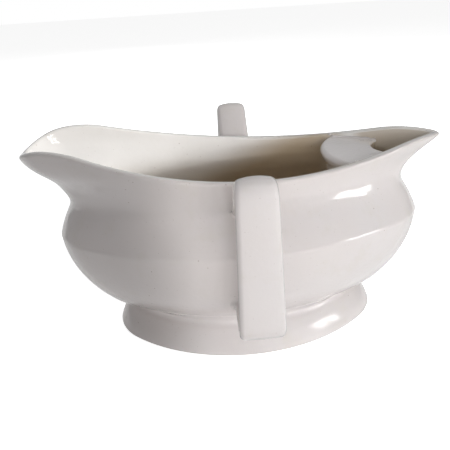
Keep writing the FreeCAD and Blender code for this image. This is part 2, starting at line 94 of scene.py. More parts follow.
# The rim seen from the side: a hump over each lip and a long valley between them.
LEFT_HUMP = (-91.0, BOWL_HIGH[2])
VALLEY = (24.0, 91.8)
RIGHT_HUMP = (97.0, 98.5)
TIP_RADIUS = 30.0
HUMP_RADIUS = 60.0
RIM_EDGE_OUT = 1.9
RIM_EDGE_IN = 1.7
# The heights between which every place of the rim is looked for, and how often that gap is halved.
RIM_LOWEST = 84.0
RIM_HALVINGS = 40
# Rounds in which the lips are fitted to the CAD bowl's length, and the share of the gap closed in each.
TIP_ROUNDS = 4
TIP_SHARE = 0.9

# The columns round the oval: samples on an end arc and on a side arc of half of it.
END_STEPS = 16
SIDE_STEPS = 34
HALF = 2 * (END_STEPS + SIDE_STEPS)


def column_places():
    """For each column of the half oval, the arc it lies on and how far along it, from 0 to 1."""
    places = []
    for arc, steps in enumerate((END_STEPS, SIDE_STEPS, SIDE_STEPS, END_STEPS)):
        places += [(arc, step / steps) for step in range(steps)]
    places.append((3, 1.0))
    return np.array(places)


PLACES = column_places()


def half_oval(left, right, wide, left_round, right_round, shift):
    """Points of half an oval of six tangent arcs, from its +X tip to its -X tip.

    Each argument is a number, or one number for each column."""
    run_right = right + shift - right_round
    run_left = left - shift - left_round
    long_right = (run_right ** 2 + wide ** 2 - right_round ** 2) / (2 * (wide - right_round))
    long_left = (run_left ** 2 + wide ** 2 - left_round ** 2) / (2 * (wide - left_round))
    turn_right = np.arctan2(long_right - wide, run_right)
    turn_left = np.arctan2(long_left - wide, run_left)
    quarter = np.pi / 2
    share = PLACES[:, 1]
    ones = np.ones(len(share))
    middles = [right - right_round, -shift, -shift, left_round - left]
    drops = [0.0, wide - long_right, wide - long_left, 0.0]
    radii = [right_round, long_right, long_left, left_round]
    turns = [
        share * turn_right,
        turn_right + share * (quarter - turn_right),
        quarter + share * (quarter - turn_left),
        np.pi - turn_left * (1 - share),
    ]
    picked = [PLACES[:, 0] == arc for arc in range(4)]
    middle = np.select(picked, [value * ones for value in middles])
    drop = np.select(picked, [value * ones for value in drops])
    radius = np.select(picked, [value * ones for value in radii])
    turn = np.select(picked, [value * ones for value in turns])
    return np.stack([middle + radius * np.cos(turn), drop + radius * np.sin(turn)], axis=1)


def belly_shape(up, inset):
    """The oval of the belly at the heights up, inside it where inset is the wall."""
    def reach(most, depth):
        """How far an ellipse of that reach and depth goes at the heights up."""
        drop = np.minimum((WIDEST_UP - up) / (depth - inset), DEEPEST)
        return (most - inset) * np.sqrt(1 - drop ** 2)

    long = reach(BELLY_LONG, BELLY_DEPTH)
    wide = reach(BELLY_WIDE, BELLY_WIDE_DEPTH)
    end = wide * wide / long * BELLY_END
    return [long, long, wide, end, end, 0.0 * long]


def natural_spline(knots, values):
    """Second derivatives of the natural cubic spline through the values at the knots."""
    gaps = np.diff(knots)
    count = len(knots)
    system = np.eye(count)
    right = np.zeros((count, values.shape[1]))
    slopes = np.diff(values, axis=0) / gaps[:, None]
    for row in range(1, count - 1):
        system[row, row - 1:row + 2] = gaps[row - 1], 2 * (gaps[row - 1] + gaps[row]), gaps[row]
        right[row] = 6 * (slopes[row] - slopes[row - 1])
    return np.linalg.solve(system, right)


class UpperShape:
    """The ovals between the widest place and the lips, on a smooth curve through the levels."""

    def __init__(self, inset):
        widest = np.array([value * 1.0 for value in belly_shape(np.array(WIDEST_UP), inset)])
        table = UPPER[:, 1:].copy()
        if inset:
            table[:, 0:5] -= inset
            table[:, 0:2] -= TIP_WALL[:, None]
            table[:, 4] = np.maximum(table[:, 4], LEAST_ROUND)
        self.knots = np.concatenate([[WIDEST_UP], UPPER[:, 0]])
        self.values = np.vstack([widest, table])
        self.bends = natural_spline(self.knots, self.values)

    def at(self, up):
        """The six numbers of the oval at each of the heights up."""
        cell = np.clip(np.searchsorted(self.knots, up) - 1, 0, len(self.knots) - 2)
        gap = self.knots[cell + 1] - self.knots[cell]
        b = ((up - self.knots[cell]) / gap)[:, None]
        a = 1 - b
        bend = (a ** 3 - a) * self.bends[cell] + (b ** 3 - b) * self.bends[cell + 1]
        result = a * self.values[cell] + b * self.values[cell + 1] + bend * (gap ** 2)[:, None] / 6
        return list(result.T)


# The wall's outside and its inside, by their distance from the outside.
SHAPES = {0.0: UpperShape(0.0), WALL: UpperShape(WALL)}


def wall_points(up, inset=0.0):
    """A point for each column of the half oval at its height up: outside, or inside with WALL."""
    up = np.broadcast_to(np.asarray(up, float), (HALF + 1,))
    low = belly_shape(np.minimum(up, WIDEST_UP), inset)
    high = SHAPES[inset].at(np.maximum(up, WIDEST_UP))
    shape = [np.where(up <= WIDEST_UP, first, second) for first, second in zip(low, high)]
    return np.column_stack([half_oval(*shape), up])


def rim_height(x):
    """Height of the rim over the place x."""
    run, rise = VALLEY[0] - LEFT_HUMP[0], LEFT_HUMP[1] - VALLEY[1]
    run_right, rise_right = RIGHT_HUMP[0] - VALLEY[0], RIGHT_HUMP[1] - VALLEY[1]
    valley = (run ** 2 + rise ** 2) / (2 * rise) - HUMP_RADIUS
    right = (run_right ** 2 + rise_right ** 2) / (2 * rise_right) - valley
    join_left = LEFT_HUMP[0] + HUMP_RADIUS * run / (valley + HUMP_RADIUS)
    join_right = VALLEY[0] + valley * run_right / (valley + right)

    def hump(place, radius):
        """Height of an arc with its top at the place."""
        drop = radius ** 2 - (x - place[0]) ** 2
        return place[1] - radius + np.sqrt(np.maximum(drop, 0))

    dip = VALLEY[1] + valley - np.sqrt(np.maximum(valley ** 2 - (x - VALLEY[0]) ** 2, 0))
    cases = [x < LEFT_HUMP[0], x < join_left, x < join_right]
    return np.select(cases, [hump(LEFT_HUMP, TIP_RADIUS), hump(LEFT_HUMP, HUMP_RADIUS), dip],
                     hump(RIGHT_HUMP, right))


def rim_line(inset):
    """Where the wall's outside or inside meets the rim, for each column."""
    low = np.full(HALF + 1, RIM_LOWEST)
    high = np.full(HALF + 1, BOWL_HIGH[2] + 1.0)
    for _ in range(RIM_HALVINGS):
        middle = (low + high) / 2
        below = middle < rim_height(wall_points(middle, inset)[:, 0])
        low = np.where(below, middle, low)
        high = np.where(below, high, middle)
    return wall_points((low + high) / 2, inset)


def fit_tips():
    """Draw the lips in or out until the rim, before it is rounded, fills the CAD bowl's length."""
    for _ in range(TIP_ROUNDS):
        line = rim_line(0.0)[:, 0]
        UPPER[LIP_LEVEL:, 1] += (min(line) - BOWL_LOW[0]) * TIP_SHARE
        UPPER[LIP_LEVEL:, 2] += (BOWL_HIGH[0] - max(line)) * TIP_SHARE
        SHAPES[0.0] = UpperShape(0.0)
    SHAPES[WALL] = UpperShape(WALL)


fit_tips()


# ---------------------------------------------------------------- meshes
def full_ring(half):
    """A closed ring of columns from the half ring, mirrored across the XZ plane."""
    half = half.copy()
    half[[0, -1], 1] = 0.0
    return np.vstack([half, half[-2:0:-1] * (1, -1, 1)])


def shares(steps):
    """Evenly spaced fractions from 0 to 1."""
    return [step / steps for step in range(steps + 1)]


def curve_rows(first, corner, last, steps):
    """Rows on the bent line from first to last that heads for the corner, without its two ends."""
    inner = shares(steps)[1:-1]
    return [(1 - t) ** 2 * first + 2 * t * (1 - t) * corner + t * t * last for t in inner]


def toward(start, end, distance):
    """Points at a distance from start on the way to end."""
    step = end - start
    return start + step * (distance / np.linalg.norm(step, axis=1, keepdims=True))


class Grid:
    """Rows of points that become one mesh, with numbers for the material painted on its points."""

    def __init__(self, name):
        self.name = name
        self.points = []
        self.faces = []
        self.paint = {"inside": [], "edge": []}
        self.rows = []

    def row(self, points, inside=0.0, edge=0.0):
        """Add a row: inside grows with the depth in the bowl, and edge is for thin glaze."""
        start = len(self.points)
        self.points += [tuple(point) for point in points]
        self.paint["inside"] += list(np.broadcast_to(inside, (len(points),)))
        self.paint["edge"] += list(np.broadcast_to(edge, (len(points),)))
        self.rows.append(range(start, start + len(points)))

    def strips(self, wrap_rows=False, wrap_columns=True):
        """Join each row to the next with four-sided faces."""
        pairs = list(zip(self.rows, self.rows[1:]))
        if wrap_rows:
            pairs.append((self.rows[-1], self.rows[0]))
        count = len(self.rows[0])
        last = count if wrap_columns else count - 1
        for lower, upper in pairs:
            for column in range(last):
                after = (column + 1) % count
                self.faces.append((lower[column], lower[after], upper[after], upper[column]))

    def cap(self, loop, flip=False):
        """Close a loop of points with a fan round its middle."""
        middle = np.mean([self.points[index] for index in loop], axis=0)
        centre = len(self.points)
        self.points.append(tuple(middle))
        for name in self.paint:
            self.paint[name].append(self.paint[name][loop[0]])
        count = len(loop)
        for step in range(count):
            here, after = loop[step], loop[(step + 1) % count]
            self.faces.append((centre, here, after) if flip else (centre, after, here))

    def tree(self):
        """The faces so far, for finding where a line meets them."""
        return BVHTree.FromPolygons(self.points, self.faces)

    def make(self, material, node):
        """The finished object, standing for its CAD node."""
        mesh = bpy.data.meshes.new(self.name)
        mesh.from_pydata([[value * MM for value in point] for point in self.points], [], self.faces)
        for name, values in self.paint.items():
            layer = mesh.attributes.new(name, "FLOAT", "POINT")
            layer.data.foreach_set("value", np.array(values, np.float32))
        work = bmesh.new()
        work.from_mesh(mesh)
        bmesh.ops.remove_doubles(work, verts=work.verts, dist=1e-7)
        bmesh.ops.recalc_face_normals(work, faces=work.faces)
        work.to_mesh(mesh)
        work.free()
        mesh.shade_smooth()
        mesh.materials.append(material)
        piece = bpy.data.objects.new(self.name, mesh)
        bpy.context.scene.collection.objects.link(piece)
        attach(piece, "root")
        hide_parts(node)
        return piece


def scaled(ring, share):
    """A ring drawn in towards the upright axis, at its own height."""
    return ring * (share, share, 1.0)


# ---------------------------------------------------------------- bowl
FOOT_LONG, FOOT_WIDE = FOOT_HIGH[0], FOOT_HIGH[1]
SEAT_IN = 10.0
BOTTOM_EDGE = 5.0
BOTTOM_CORNER = 1.0
# Where the rings of the flat middle of the underside and of the floor lie, from the axis out.
MIDDLE = (0.02, 0.25, 0.5, 0.75)
# The floor's round corner starts this far above it, heads for a ring at FLOOR_CORNER of the inside's
# outline, and ends on one at FLOOR_FLAT of it.
FLOOR_BEND = 7.0
FLOOR_CORNER = 0.98
FLOOR_FLAT = 0.78
# The depth painted as inside also sets where the glaze is painted lighter and where brown shade is
# painted.
# What is painted as inside on the rim, its inner edge, the lips and the belly; the floor has 1.
RIM_DEPTH = 0.1
EDGE_DEPTH = 0.2
LIP_DEPTH = 0.3
BELLY_PAINT = 0.7
# What is painted as edge on the rim, and beside it, where it fades away in a steep power.
RIM_THIN = 0.5
BESIDE_THIN = 0.4
FADE = 8


def foot_oval(inwards, up):
    """Half a ring of the foot, in from its widest outline, at a height."""
    long, wide = FOOT_LONG - inwards, FOOT_WIDE - inwards
    end = wide * wide / long
    half = half_oval(long, long, wide, end, end, 0.0)
    return np.column_stack([half, np.full(HALF + 1, up)])


def bottom_edge(share):
    """The rounded edge between the bowl's flat underside and its belly."""
    seat = foot_oval(SEAT_IN, SEAT_UP)
    corner = wall_points(SEAT_UP + BOTTOM_CORNER)
    belly = wall_points(SEAT_UP + BOTTOM_EDGE)
    return (1 - share) ** 2 * seat + 2 * share * (1 - share) * corner + share ** 2 * belly


def beside_rim(top, inset, distance):
    """Points on the wall's surface at a distance below the rim."""
    below = wall_points(top[:, 2] - 1.0, inset)
    per_step = np.linalg.norm(below - top, axis=1)
    return wall_points(top[:, 2] - distance / per_step, inset)


def bowl_grid():
    """The bowl: underside, outside, rounded rim, inside and floor, in one closed surface."""
    grid = Grid("bowl")
    top_out, top_in = rim_line(0.0), rim_line(WALL)
    seat = foot_oval(SEAT_IN, SEAT_UP)
    for share in MIDDLE:
        grid.row(full_ring(scaled(seat, share)))
    for share in shares(10):
        grid.row(full_ring(bottom_edge(share)))
    low = SEAT_UP + BOTTOM_EDGE
    for share in shares(22)[1:]:
        grid.row(full_ring(wall_points(low + (WIDEST_UP - low) * share)))
    edge_out = beside_rim(top_out, 0.0, RIM_EDGE_OUT)
    for share in shares(34)[1:]:
        up = WIDEST_UP + (edge_out[:, 2] - WIDEST_UP) * share
        grid.row(full_ring(wall_points(up)), edge=BESIDE_THIN * share ** FADE)
    band_out = toward(top_out, top_in, RIM_EDGE_OUT)
    band_in = toward(top_in, top_out, RIM_EDGE_IN)
    for line in curve_rows(edge_out, top_out, band_out, 6):
        grid.row(full_ring(line), edge=1.0)
    for share in shares(3):
        line = band_out + (band_in - band_out) * share
        grid.row(full_ring(line), inside=RIM_DEPTH, edge=RIM_THIN)
    edge_in = beside_rim(top_in, WALL, RIM_EDGE_IN)
    for line in curve_rows(band_in, top_in, edge_in, 6):
        grid.row(full_ring(line), inside=EDGE_DEPTH, edge=1.0)
    for share in shares(28):
        up = edge_in[:, 2] + (WIDEST_UP - edge_in[:, 2]) * share
        depth = LIP_DEPTH + (BELLY_PAINT - LIP_DEPTH) * share
        thin = BESIDE_THIN * (1 - share) ** FADE
        grid.row(full_ring(wall_points(up, WALL)), inside=depth, edge=thin)
    bend = FLOOR_UP + FLOOR_BEND
    for share in shares(14)[1:]:
        up = WIDEST_UP + (bend - WIDEST_UP) * share
        depth = BELLY_PAINT + (1.0 - BELLY_PAINT) * share
        grid.row(full_ring(wall_points(up, WALL)), inside=depth)
    floor = scaled(wall_points(FLOOR_UP, WALL), FLOOR_FLAT)
    corner = scaled(wall_points(FLOOR_UP, WALL), FLOOR_CORNER)
    for line in curve_rows(wall_points(bend, WALL), corner, floor, 10):
        grid.row(full_ring(line), inside=1.0)
    grid.row(full_ring(floor), inside=1.0)
    for share in reversed(MIDDLE):
        grid.row(full_ring(scaled(floor, share)), inside=1.0)
    grid.strips()
    grid.cap(grid.rows[0])
    grid.cap(grid.rows[-1], flip=True)
    return grid


# ---------------------------------------------------------------- foot
# The foot's outside from the resting ring up, in pairs of inset and height: each bend is a first
# point, the corner that the curve heads for, and a last point.
FOOT_BENDS = (
    ((1.6, 0.0), (0.0, 0.0), (0.1, 1.7), 5),
    ((0.1, 1.7), (2.1, 7.8), (6.2, 11.5), 8),
    ((6.2, 11.5), (7.0, 12.5), (8.1, 13.1), 5),
    ((8.1, 13.1), (9.7, 14.0), (9.9, 15.8), 6),
)
# The hollow from its top down to the resting ring.
HOLLOW_BENDS = (
    ((16.0, 18.2), (13.6, 14.0), (12.4, 11.0), 8),
    ((12.4, 11.0), (7.6, 4.0), (6.6, 1.6), 8),
    ((6.6, 1.6), (6.0, 0.0), (4.6, 0.0), 5),
)
# The soft ridge near the top of the skirt: its height, how far it spreads and how thin its glaze is.
RIDGE_UP = 12.4
RIDGE_SPREAD = 0.9
RIDGE_THIN = 0.5
# Below this height the foot rests on the table and is bare clay.
REST_UP = 0.2
# The cove from the skirt onto the belly: the corner that it heads for, seen from the seat's edge, and
# how far up the bowl's bottom edge it ends.  The foot's top is sunk a little into the bowl there.
COVE_OUT = 0.6
COVE_DOWN = 0.7
COVE_END = 0.62
TOP_IN = 0.985
TOP_SUNK = 1.2


def bend_rows(bends):
    """Insets and heights along a chain of bends, without the first point of each but the first."""
    rows = [np.array(bends[0][0])]
    for first, corner, last, steps in bends:
        first, corner, last = np.array(first), np.array(corner), np.array(last)
        rows += curve_rows(first, corner, last, steps) + [last]
    return rows


def foot_grid():
    """The foot: a flared skirt, a soft ridge, a cove that runs out onto the belly, and a hollow."""
    grid = Grid("foot")
    outside = bend_rows(FOOT_BENDS)
    for inwards, up in outside:
        rests = 1.0 if up < REST_UP else 0.0
        ridge = math.exp(-((up - RIDGE_UP) / RIDGE_SPREAD) ** 2)
        grid.row(full_ring(foot_oval(inwards, up)), inside=-rests, edge=RIDGE_THIN * ridge)
    start = foot_oval(*outside[-1])
    corner = foot_oval(SEAT_IN - COVE_OUT, SEAT_UP - COVE_DOWN)
    end = bottom_edge(COVE_END)
    for line in curve_rows(start, corner, end, 9):
        grid.row(full_ring(line))
    grid.row(full_ring(end))
    grid.row(full_ring(scaled(end, TOP_IN) + (0.0, 0.0, TOP_SUNK)))
    for inwards, up in bend_rows(HOLLOW_BENDS):
        rests = 1.0 if up < REST_UP else 0.0
        grid.row(full_ring(foot_oval(inwards, up)), inside=-rests)
    grid.strips(wrap_rows=True)
    return grid


# ---------------------------------------------------------------- handles
STRAP_X = (HANDLE_LOW[0] + HANDLE_HIGH[0]) / 2
STRAP_REACH, STRAP_TOP = HANDLE_HIGH[1], HANDLE_HIGH[2]
STRAP_BOTTOM = HANDLE_LOW[2]
STRAP_WIDE = HANDLE_HIGH[0] - HANDLE_LOW[0]
STRAP_NARROW = 17.5
STRAP_THICK = 6.0
STRAP_EDGE = 2.4
# How far the outer face drops towards its edges, low down and at the top, and where the top begins.
STRAP_CROWN = 0.35
TOP_CROWN = 1.9
CROWN_START = 0.75
STRAP_RISE = math.radians(40.0)
TOP_ROUND = 8.0 - STRAP_THICK / 2
BOTTOM_ROUND = 9.0 - STRAP_THICK / 2
# The fillets at the two roots, and how far below the bowl's surface they and their skirts end.
UPPER_ROOT = 1.8
LOWER_ROOT = 3.6
ROOT_SKIN = 0.12
ROOT_SUNK = 1.2


def strap_profile(width, crown):
    """The strap's cross-section: across it, outwards, and the direction that its edge faces."""
    half, thick = width / 2 - STRAP_EDGE, STRAP_THICK / 2 - STRAP_EDGE
    points = []
    for side_x, side_y, start in ((1, 1, 0), (-1, 1, 1), (-1, -1, 2), (1, -1, 3)):
        for step in range(7):
            turn = (start + step / 6) * math.pi / 2
            face = (math.cos(turn), math.sin(turn))
            across = side_x * half + STRAP_EDGE * face[0]
            points.append((across, side_y * thick + STRAP_EDGE * face[1], *face))
        if start in (0, 2):
            for step in range(1, 8):
                across = side_x * half * (1 - step / 4)
                points.append((across, side_y * STRAP_THICK / 2, 0.0, side_y))
    shape = np.array(points)
    rise = 1 - (shape[:, 0] / (width / 2)) ** 2
    shape[:, 1] += np.where(shape[:, 1] > 0, -crown * (1 - rise), 0.0)
    return shape


def strap_path():
    """Centre line between the two roots: y, z and the direction of travel at each ring."""
    middle_y = STRAP_REACH - STRAP_THICK / 2
    high = (middle_y - TOP_ROUND, STRAP_TOP - STRAP_THICK / 2 - TOP_ROUND)
    low = (middle_y - BOTTOM_ROUND, STRAP_BOTTOM + STRAP_THICK / 2 + BOTTOM_ROUND)
    stations = []
    for share in shares(14):
        turn = math.pi / 2 + STRAP_RISE - share * (math.pi / 2 + STRAP_RISE)
        stations.append((high[0] + TOP_ROUND * math.cos(turn), high[1] + TOP_ROUND * math.sin(turn),
                         math.sin(turn), -math.cos(turn)))
    for share in shares(18)[1:-1]:
        stations.append((middle_y, high[1] + (low[1] - high[1]) * share, 0.0, -1.0))
    for share in shares(10):
        turn = -share * math.pi / 2
        stations.append((low[0] + BOTTOM_ROUND * math.cos(turn), low[1] + BOTTOM_ROUND * math.sin(turn),
                         math.sin(turn), -math.cos(turn)))
    return stations


def strap_ring(station):
    """The profile's points and outward directions at a place on the centre line."""
    y, z, go_y, go_z = station
    share = (z - STRAP_BOTTOM) / (STRAP_TOP - STRAP_BOTTOM)
    arch = max(share - CROWN_START, 0.0) / (1.0 - CROWN_START)
    crown = STRAP_CROWN + (TOP_CROWN - STRAP_CROWN) * arch ** 2
    shape = strap_profile(STRAP_WIDE + (STRAP_NARROW - STRAP_WIDE) * share, crown)
    out = np.array([0.0, -go_z, go_y])
    points = np.array([STRAP_X, y, z]) + shape[:, :1] * (1, 0, 0) + shape[:, 1:2] * out
    faces = shape[:, 2:3] * (1, 0, 0) + shape[:, 3:4] * out
    return points, faces


def root_rows(points, faces, direction, radius, tree):
    """Rows from a ring of the strap to the bowl, spreading out onto it in a soft fillet."""
    hits, ends, normals = [], [], []
    for point, face in zip(points, faces):
        hit = tree.ray_cast(Vector(point), Vector(direction))[0]
        near, normal = tree.ray_cast(Vector(point + face * radius), Vector(direction))[:2]
        hits.append(hit)
        ends.append(near)
        normals.append(normal if normal.dot(Vector(direction)) < 0 else -normal)
    hits, ends, normals = np.array(hits), np.array(ends), np.array(normals)
    gap = np.linalg.norm(hits - points, axis=1, keepdims=True)
    near = points + direction * (gap - radius)
    rows = [points + (near - points) * share for share in shares(8)[1:]]
    rows += curve_rows(near, hits, ends - normals * ROOT_SKIN, 9)
    rows.append(ends - normals * ROOT_SUNK)
    return rows


def handle_grid(name, side, tree):
    """A strap handle with both roots luted to the bowl, on the +Y side or mirrored."""
    grid = Grid(name)
    path = strap_path()
    first, last = path[0], path[-1]
    upper = root_rows(*strap_ring(first), -np.array([0.0, first[2], first[3]]), UPPER_ROOT, tree)
    lower = root_rows(*strap_ring(last), np.array([0.0, last[2], last[3]]), LOWER_ROOT, tree)
    rings = upper[::-1] + [strap_ring(station)[0] for station in path] + lower
    for ring in rings:
        grid.row(ring * (1, side, 1))
    grid.strips()
    grid.cap(grid.rows[0])
    grid.cap(grid.rows[-1], flip=True)
    return grid


# ---------------------------------------------------------------- separator
SHELF_UP = DIVIDER_HIGH[2]
SHELF_FRONT = DIVIDER_LOW[0]
SHELF_RADIUS = 44.0
SHELF_THICK = 5.0
SHELF_EDGE = 2.5
DUCT_X = 89.5
DUCT_RADIUS = 16.0
DUCT_EDGE = 1.3
# The heights above the shelf's underside of the upright rows round the mouth of the duct.
MOUTH_ROWS = (0.0, 1.2, 2.4, SHELF_THICK - DUCT_EDGE)
# The divider leans towards +X: so far at its foot, and LIP_LEAN where its straight line would meet
# the shelf.  Over the last LIP_DROP a soft lip takes that back to nothing.
DIVIDER_THICK = 4.5
DIVIDER_LEAN = 16.0
LIP_LEAN = 0.8
LIP_DROP = 4.0
DIVIDER_TOP = SHELF_UP - SHELF_EDGE
DIVIDER_FOOT = DIVIDER_LOW[2]
# The divider's rounded lower edge, and the gap that rounds it into the shelf's underside.
FOOT_ROUND = 1.8
FOOT_SHIFT = 0.2
UNDER_ROUND = 1.0
SHELF_STEPS = 36
# How far the separator's edges sink into the bowl's wall.
SUNK = 1.8
# The widest turn about the shelf's centre, and the samples in which the wall is looked for.
WIDEST_TURN = 1.35
FINE = 400
WALL_SAMPLES = 100
# The fillet between the shelf's top and the wall: its radius, its least radius, the share of the way
# to the duct's mouth that it may fill, the wall's least and greatest slope, and the climb past it.
SHELF_FILLET = 6.0
LEAST_FILLET = 0.4
MOUTH_SHARE = 0.7
LEAST_SLOPE = 0.3
MOST_SLOPE = 1.4
PAST_CLIMB = 0.6
TOP_MARGIN = 0.01
# What is painted: edge on the shelf's front and on the mouth, inside in the duct, and the share of the
# way down the divider where inside begins.
FRONT_THIN = 0.6
MOUTH_THIN = 0.8
# The depth painted in the duct also sets the brown shade painted there.
DUCT_DEPTH = 0.8
DEPTH_START = 0.4


def inner_half_width(up, x):
    """Half the width of the bowl's inside at a height and place."""
    ring = wall_points(up, WALL)[::-1]
    return np.interp(x, ring[:, 0], ring[:, 1])


def lean(up):
    """How far the divider has moved towards +X at a height, with a soft lip under the shelf."""
    line = LIP_LEAN + (DIVIDER_LEAN - LIP_LEAN) * (DIVIDER_TOP - up) / (DIVIDER_TOP - DIVIDER_FOOT)
    share = min(max((DIVIDER_TOP - up) / LIP_DROP, 0.0), 1.0)
    return line * share * share * (3 - 2 * share)


def arc_row(up, radius, shift):
    """A row along an arc about the shelf's centre, from the bowl's wall to the wall."""
    centre = SHELF_FRONT + SHELF_RADIUS + shift
    turns = np.linspace(0.0, WIDEST_TURN, FINE)
    inside = radius * np.sin(turns) < inner_half_width(up, centre - radius * np.cos(turns)) + SUNK
    end = turns[np.argmin(inside)]
    turn = end * np.linspace(1.0, -1.0, 2 * SHELF_STEPS + 1)
    across = [centre - radius * np.cos(turn), radius * np.sin(turn), np.full(len(turn), up)]
    return np.column_stack(across)


def shelf_back():
    """The shelf's back edge, along the wall and round the duct's mouth, and its inward directions."""
    turns = np.linspace(math.pi / 2, math.pi, FINE)
    mouth = np.column_stack([DUCT_X + DUCT_RADIUS * np.cos(turns), DUCT_RADIUS * np.sin(turns)])
    mouth = mouth[mouth[:, 1] < inner_half_width(SHELF_UP, mouth[:, 0]) + SUNK]
    corner = arc_row(SHELF_UP, SHELF_RADIUS, 0.0)[0]
    wall_x = np.linspace(corner[0], mouth[0, 0], WALL_SAMPLES)[:-1]
    wall = np.column_stack([wall_x, inner_half_width(SHELF_UP, wall_x) + SUNK])
    line = np.vstack([wall, mouth])
    length = np.concatenate([[0], np.cumsum(np.linalg.norm(np.diff(line, axis=0), axis=1))])
    spots = np.linspace(0, length[-1], SHELF_STEPS + 1)
    half = np.column_stack([np.interp(spots, length, line[:, 0]), np.interp(spots, length, line[:, 1])])
    half[-1, 1] = 0.0
    whole = np.vstack([half, half[-2::-1] * (1, -1)])
    along = np.gradient(whole, axis=0)
    along /= np.linalg.norm(along, axis=1, keepdims=True)
    into = np.column_stack([along[:, 1], -along[:, 0]])
    return whole, into


def separator_grid(tree):
    """A level shelf with a rolled front edge and a mouth for the duct, over a leaning divider."""
    grid = Grid("shelf")
    for share in shares(7):
        turn = math.pi / 2 * (1 - share)
        drop = SHELF_EDGE * (1 - math.sin(turn))
        inwards = SHELF_EDGE * (1 - math.cos(turn))
        grid.row(arc_row(SHELF_UP - drop, SHELF_RADIUS - inwards, 0.0), edge=FRONT_THIN)
    low = DIVIDER_FOOT + FOOT_ROUND
    for share in shares(40)[1:]:
        up = DIVIDER_TOP + (low - DIVIDER_TOP) * share
        depth = max(share - DEPTH_START, 0.0) / (1.0 - DEPTH_START)
        grid.row(arc_row(up, SHELF_RADIUS, lean(up)), inside=depth)
    front = arc_row(low, SHELF_RADIUS, lean(low))
    under_foot = DIVIDER_FOOT - FOOT_ROUND / 2
    middle = arc_row(under_foot, SHELF_RADIUS - DIVIDER_THICK / 2, lean(low) + FOOT_SHIFT)
    back = arc_row(low, SHELF_RADIUS - DIVIDER_THICK, lean(low))
    for line in curve_rows(front, middle, back, 6):
        grid.row(line, inside=1.0)
    under = SHELF_UP - SHELF_THICK
    for share in shares(16):
        up = low + (under - UNDER_ROUND - low) * share
        grid.row(arc_row(up, SHELF_RADIUS - DIVIDER_THICK, lean(up)), inside=1.0)
    edge, into = shelf_back()
    for above in MOUTH_ROWS:
        grid.row(np.column_stack([edge, np.full(len(edge), under + above)]), inside=DUCT_DEPTH)
    for share in shares(5)[1:]:
        turn = math.pi / 2 * share
        spot = edge + into * DUCT_EDGE * (1 - math.cos(turn))
        up = SHELF_UP - DUCT_EDGE * (1 - math.sin(turn))
        grid.row(np.column_stack([spot, np.full(len(edge), up)]), edge=MOUTH_THIN)
    behind = np.array([grid.points[index] for index in grid.rows[-1]])
    ahead = np.array([grid.points[index] for index in grid.rows[0]])
    for share in shares(14)[1:-1]:
        grid.row(behind + (ahead - behind) * share)
    grid.strips(wrap_rows=True, wrap_columns=False)
    grid.cap([row[0] for row in grid.rows])
    grid.cap([row[-1] for row in grid.rows], flip=True)
    blend_into_wall(grid, tree)
    return grid


def blend_into_wall(grid, tree):
    """Raise the shelf's top in a round fillet where it nears the bowl's sloping wall."""
    for index in [index for row in grid.rows for index in row]:
        x, y, z = grid.points[index]
        if z < SHELF_UP - TOP_MARGIN:
            continue
        normal, _, gap = tree.find_nearest(Vector((x, y, z)))[1:]
        slope = min(max(math.acos(min(abs(normal.z), 1.0)), LEAST_SLOPE), MOST_SLOPE)
        beyond = abs(y) > inner_half_width(z, x)
        from_mouth = math.hypot(x - DUCT_X, y) - DUCT_RADIUS
        room = min(rim_height(x) - SHELF_UP, MOUTH_SHARE * from_mouth)
        radius = min(SHELF_FILLET, max(room, LEAST_FILLET))
        start = radius * math.tan(slope / 2)
        along = (gap if beyond else -gap) / math.sin(slope) + start
        on_arc = min(max(along, 0.0), radius * math.sin(slope))
        swell = radius - math.sqrt(radius ** 2 - on_arc ** 2)
        past = max(along - on_arc, 0.0)
        grid.points[index] = (x, y, z + swell + PAST_CLIMB * past * math.tan(slope))


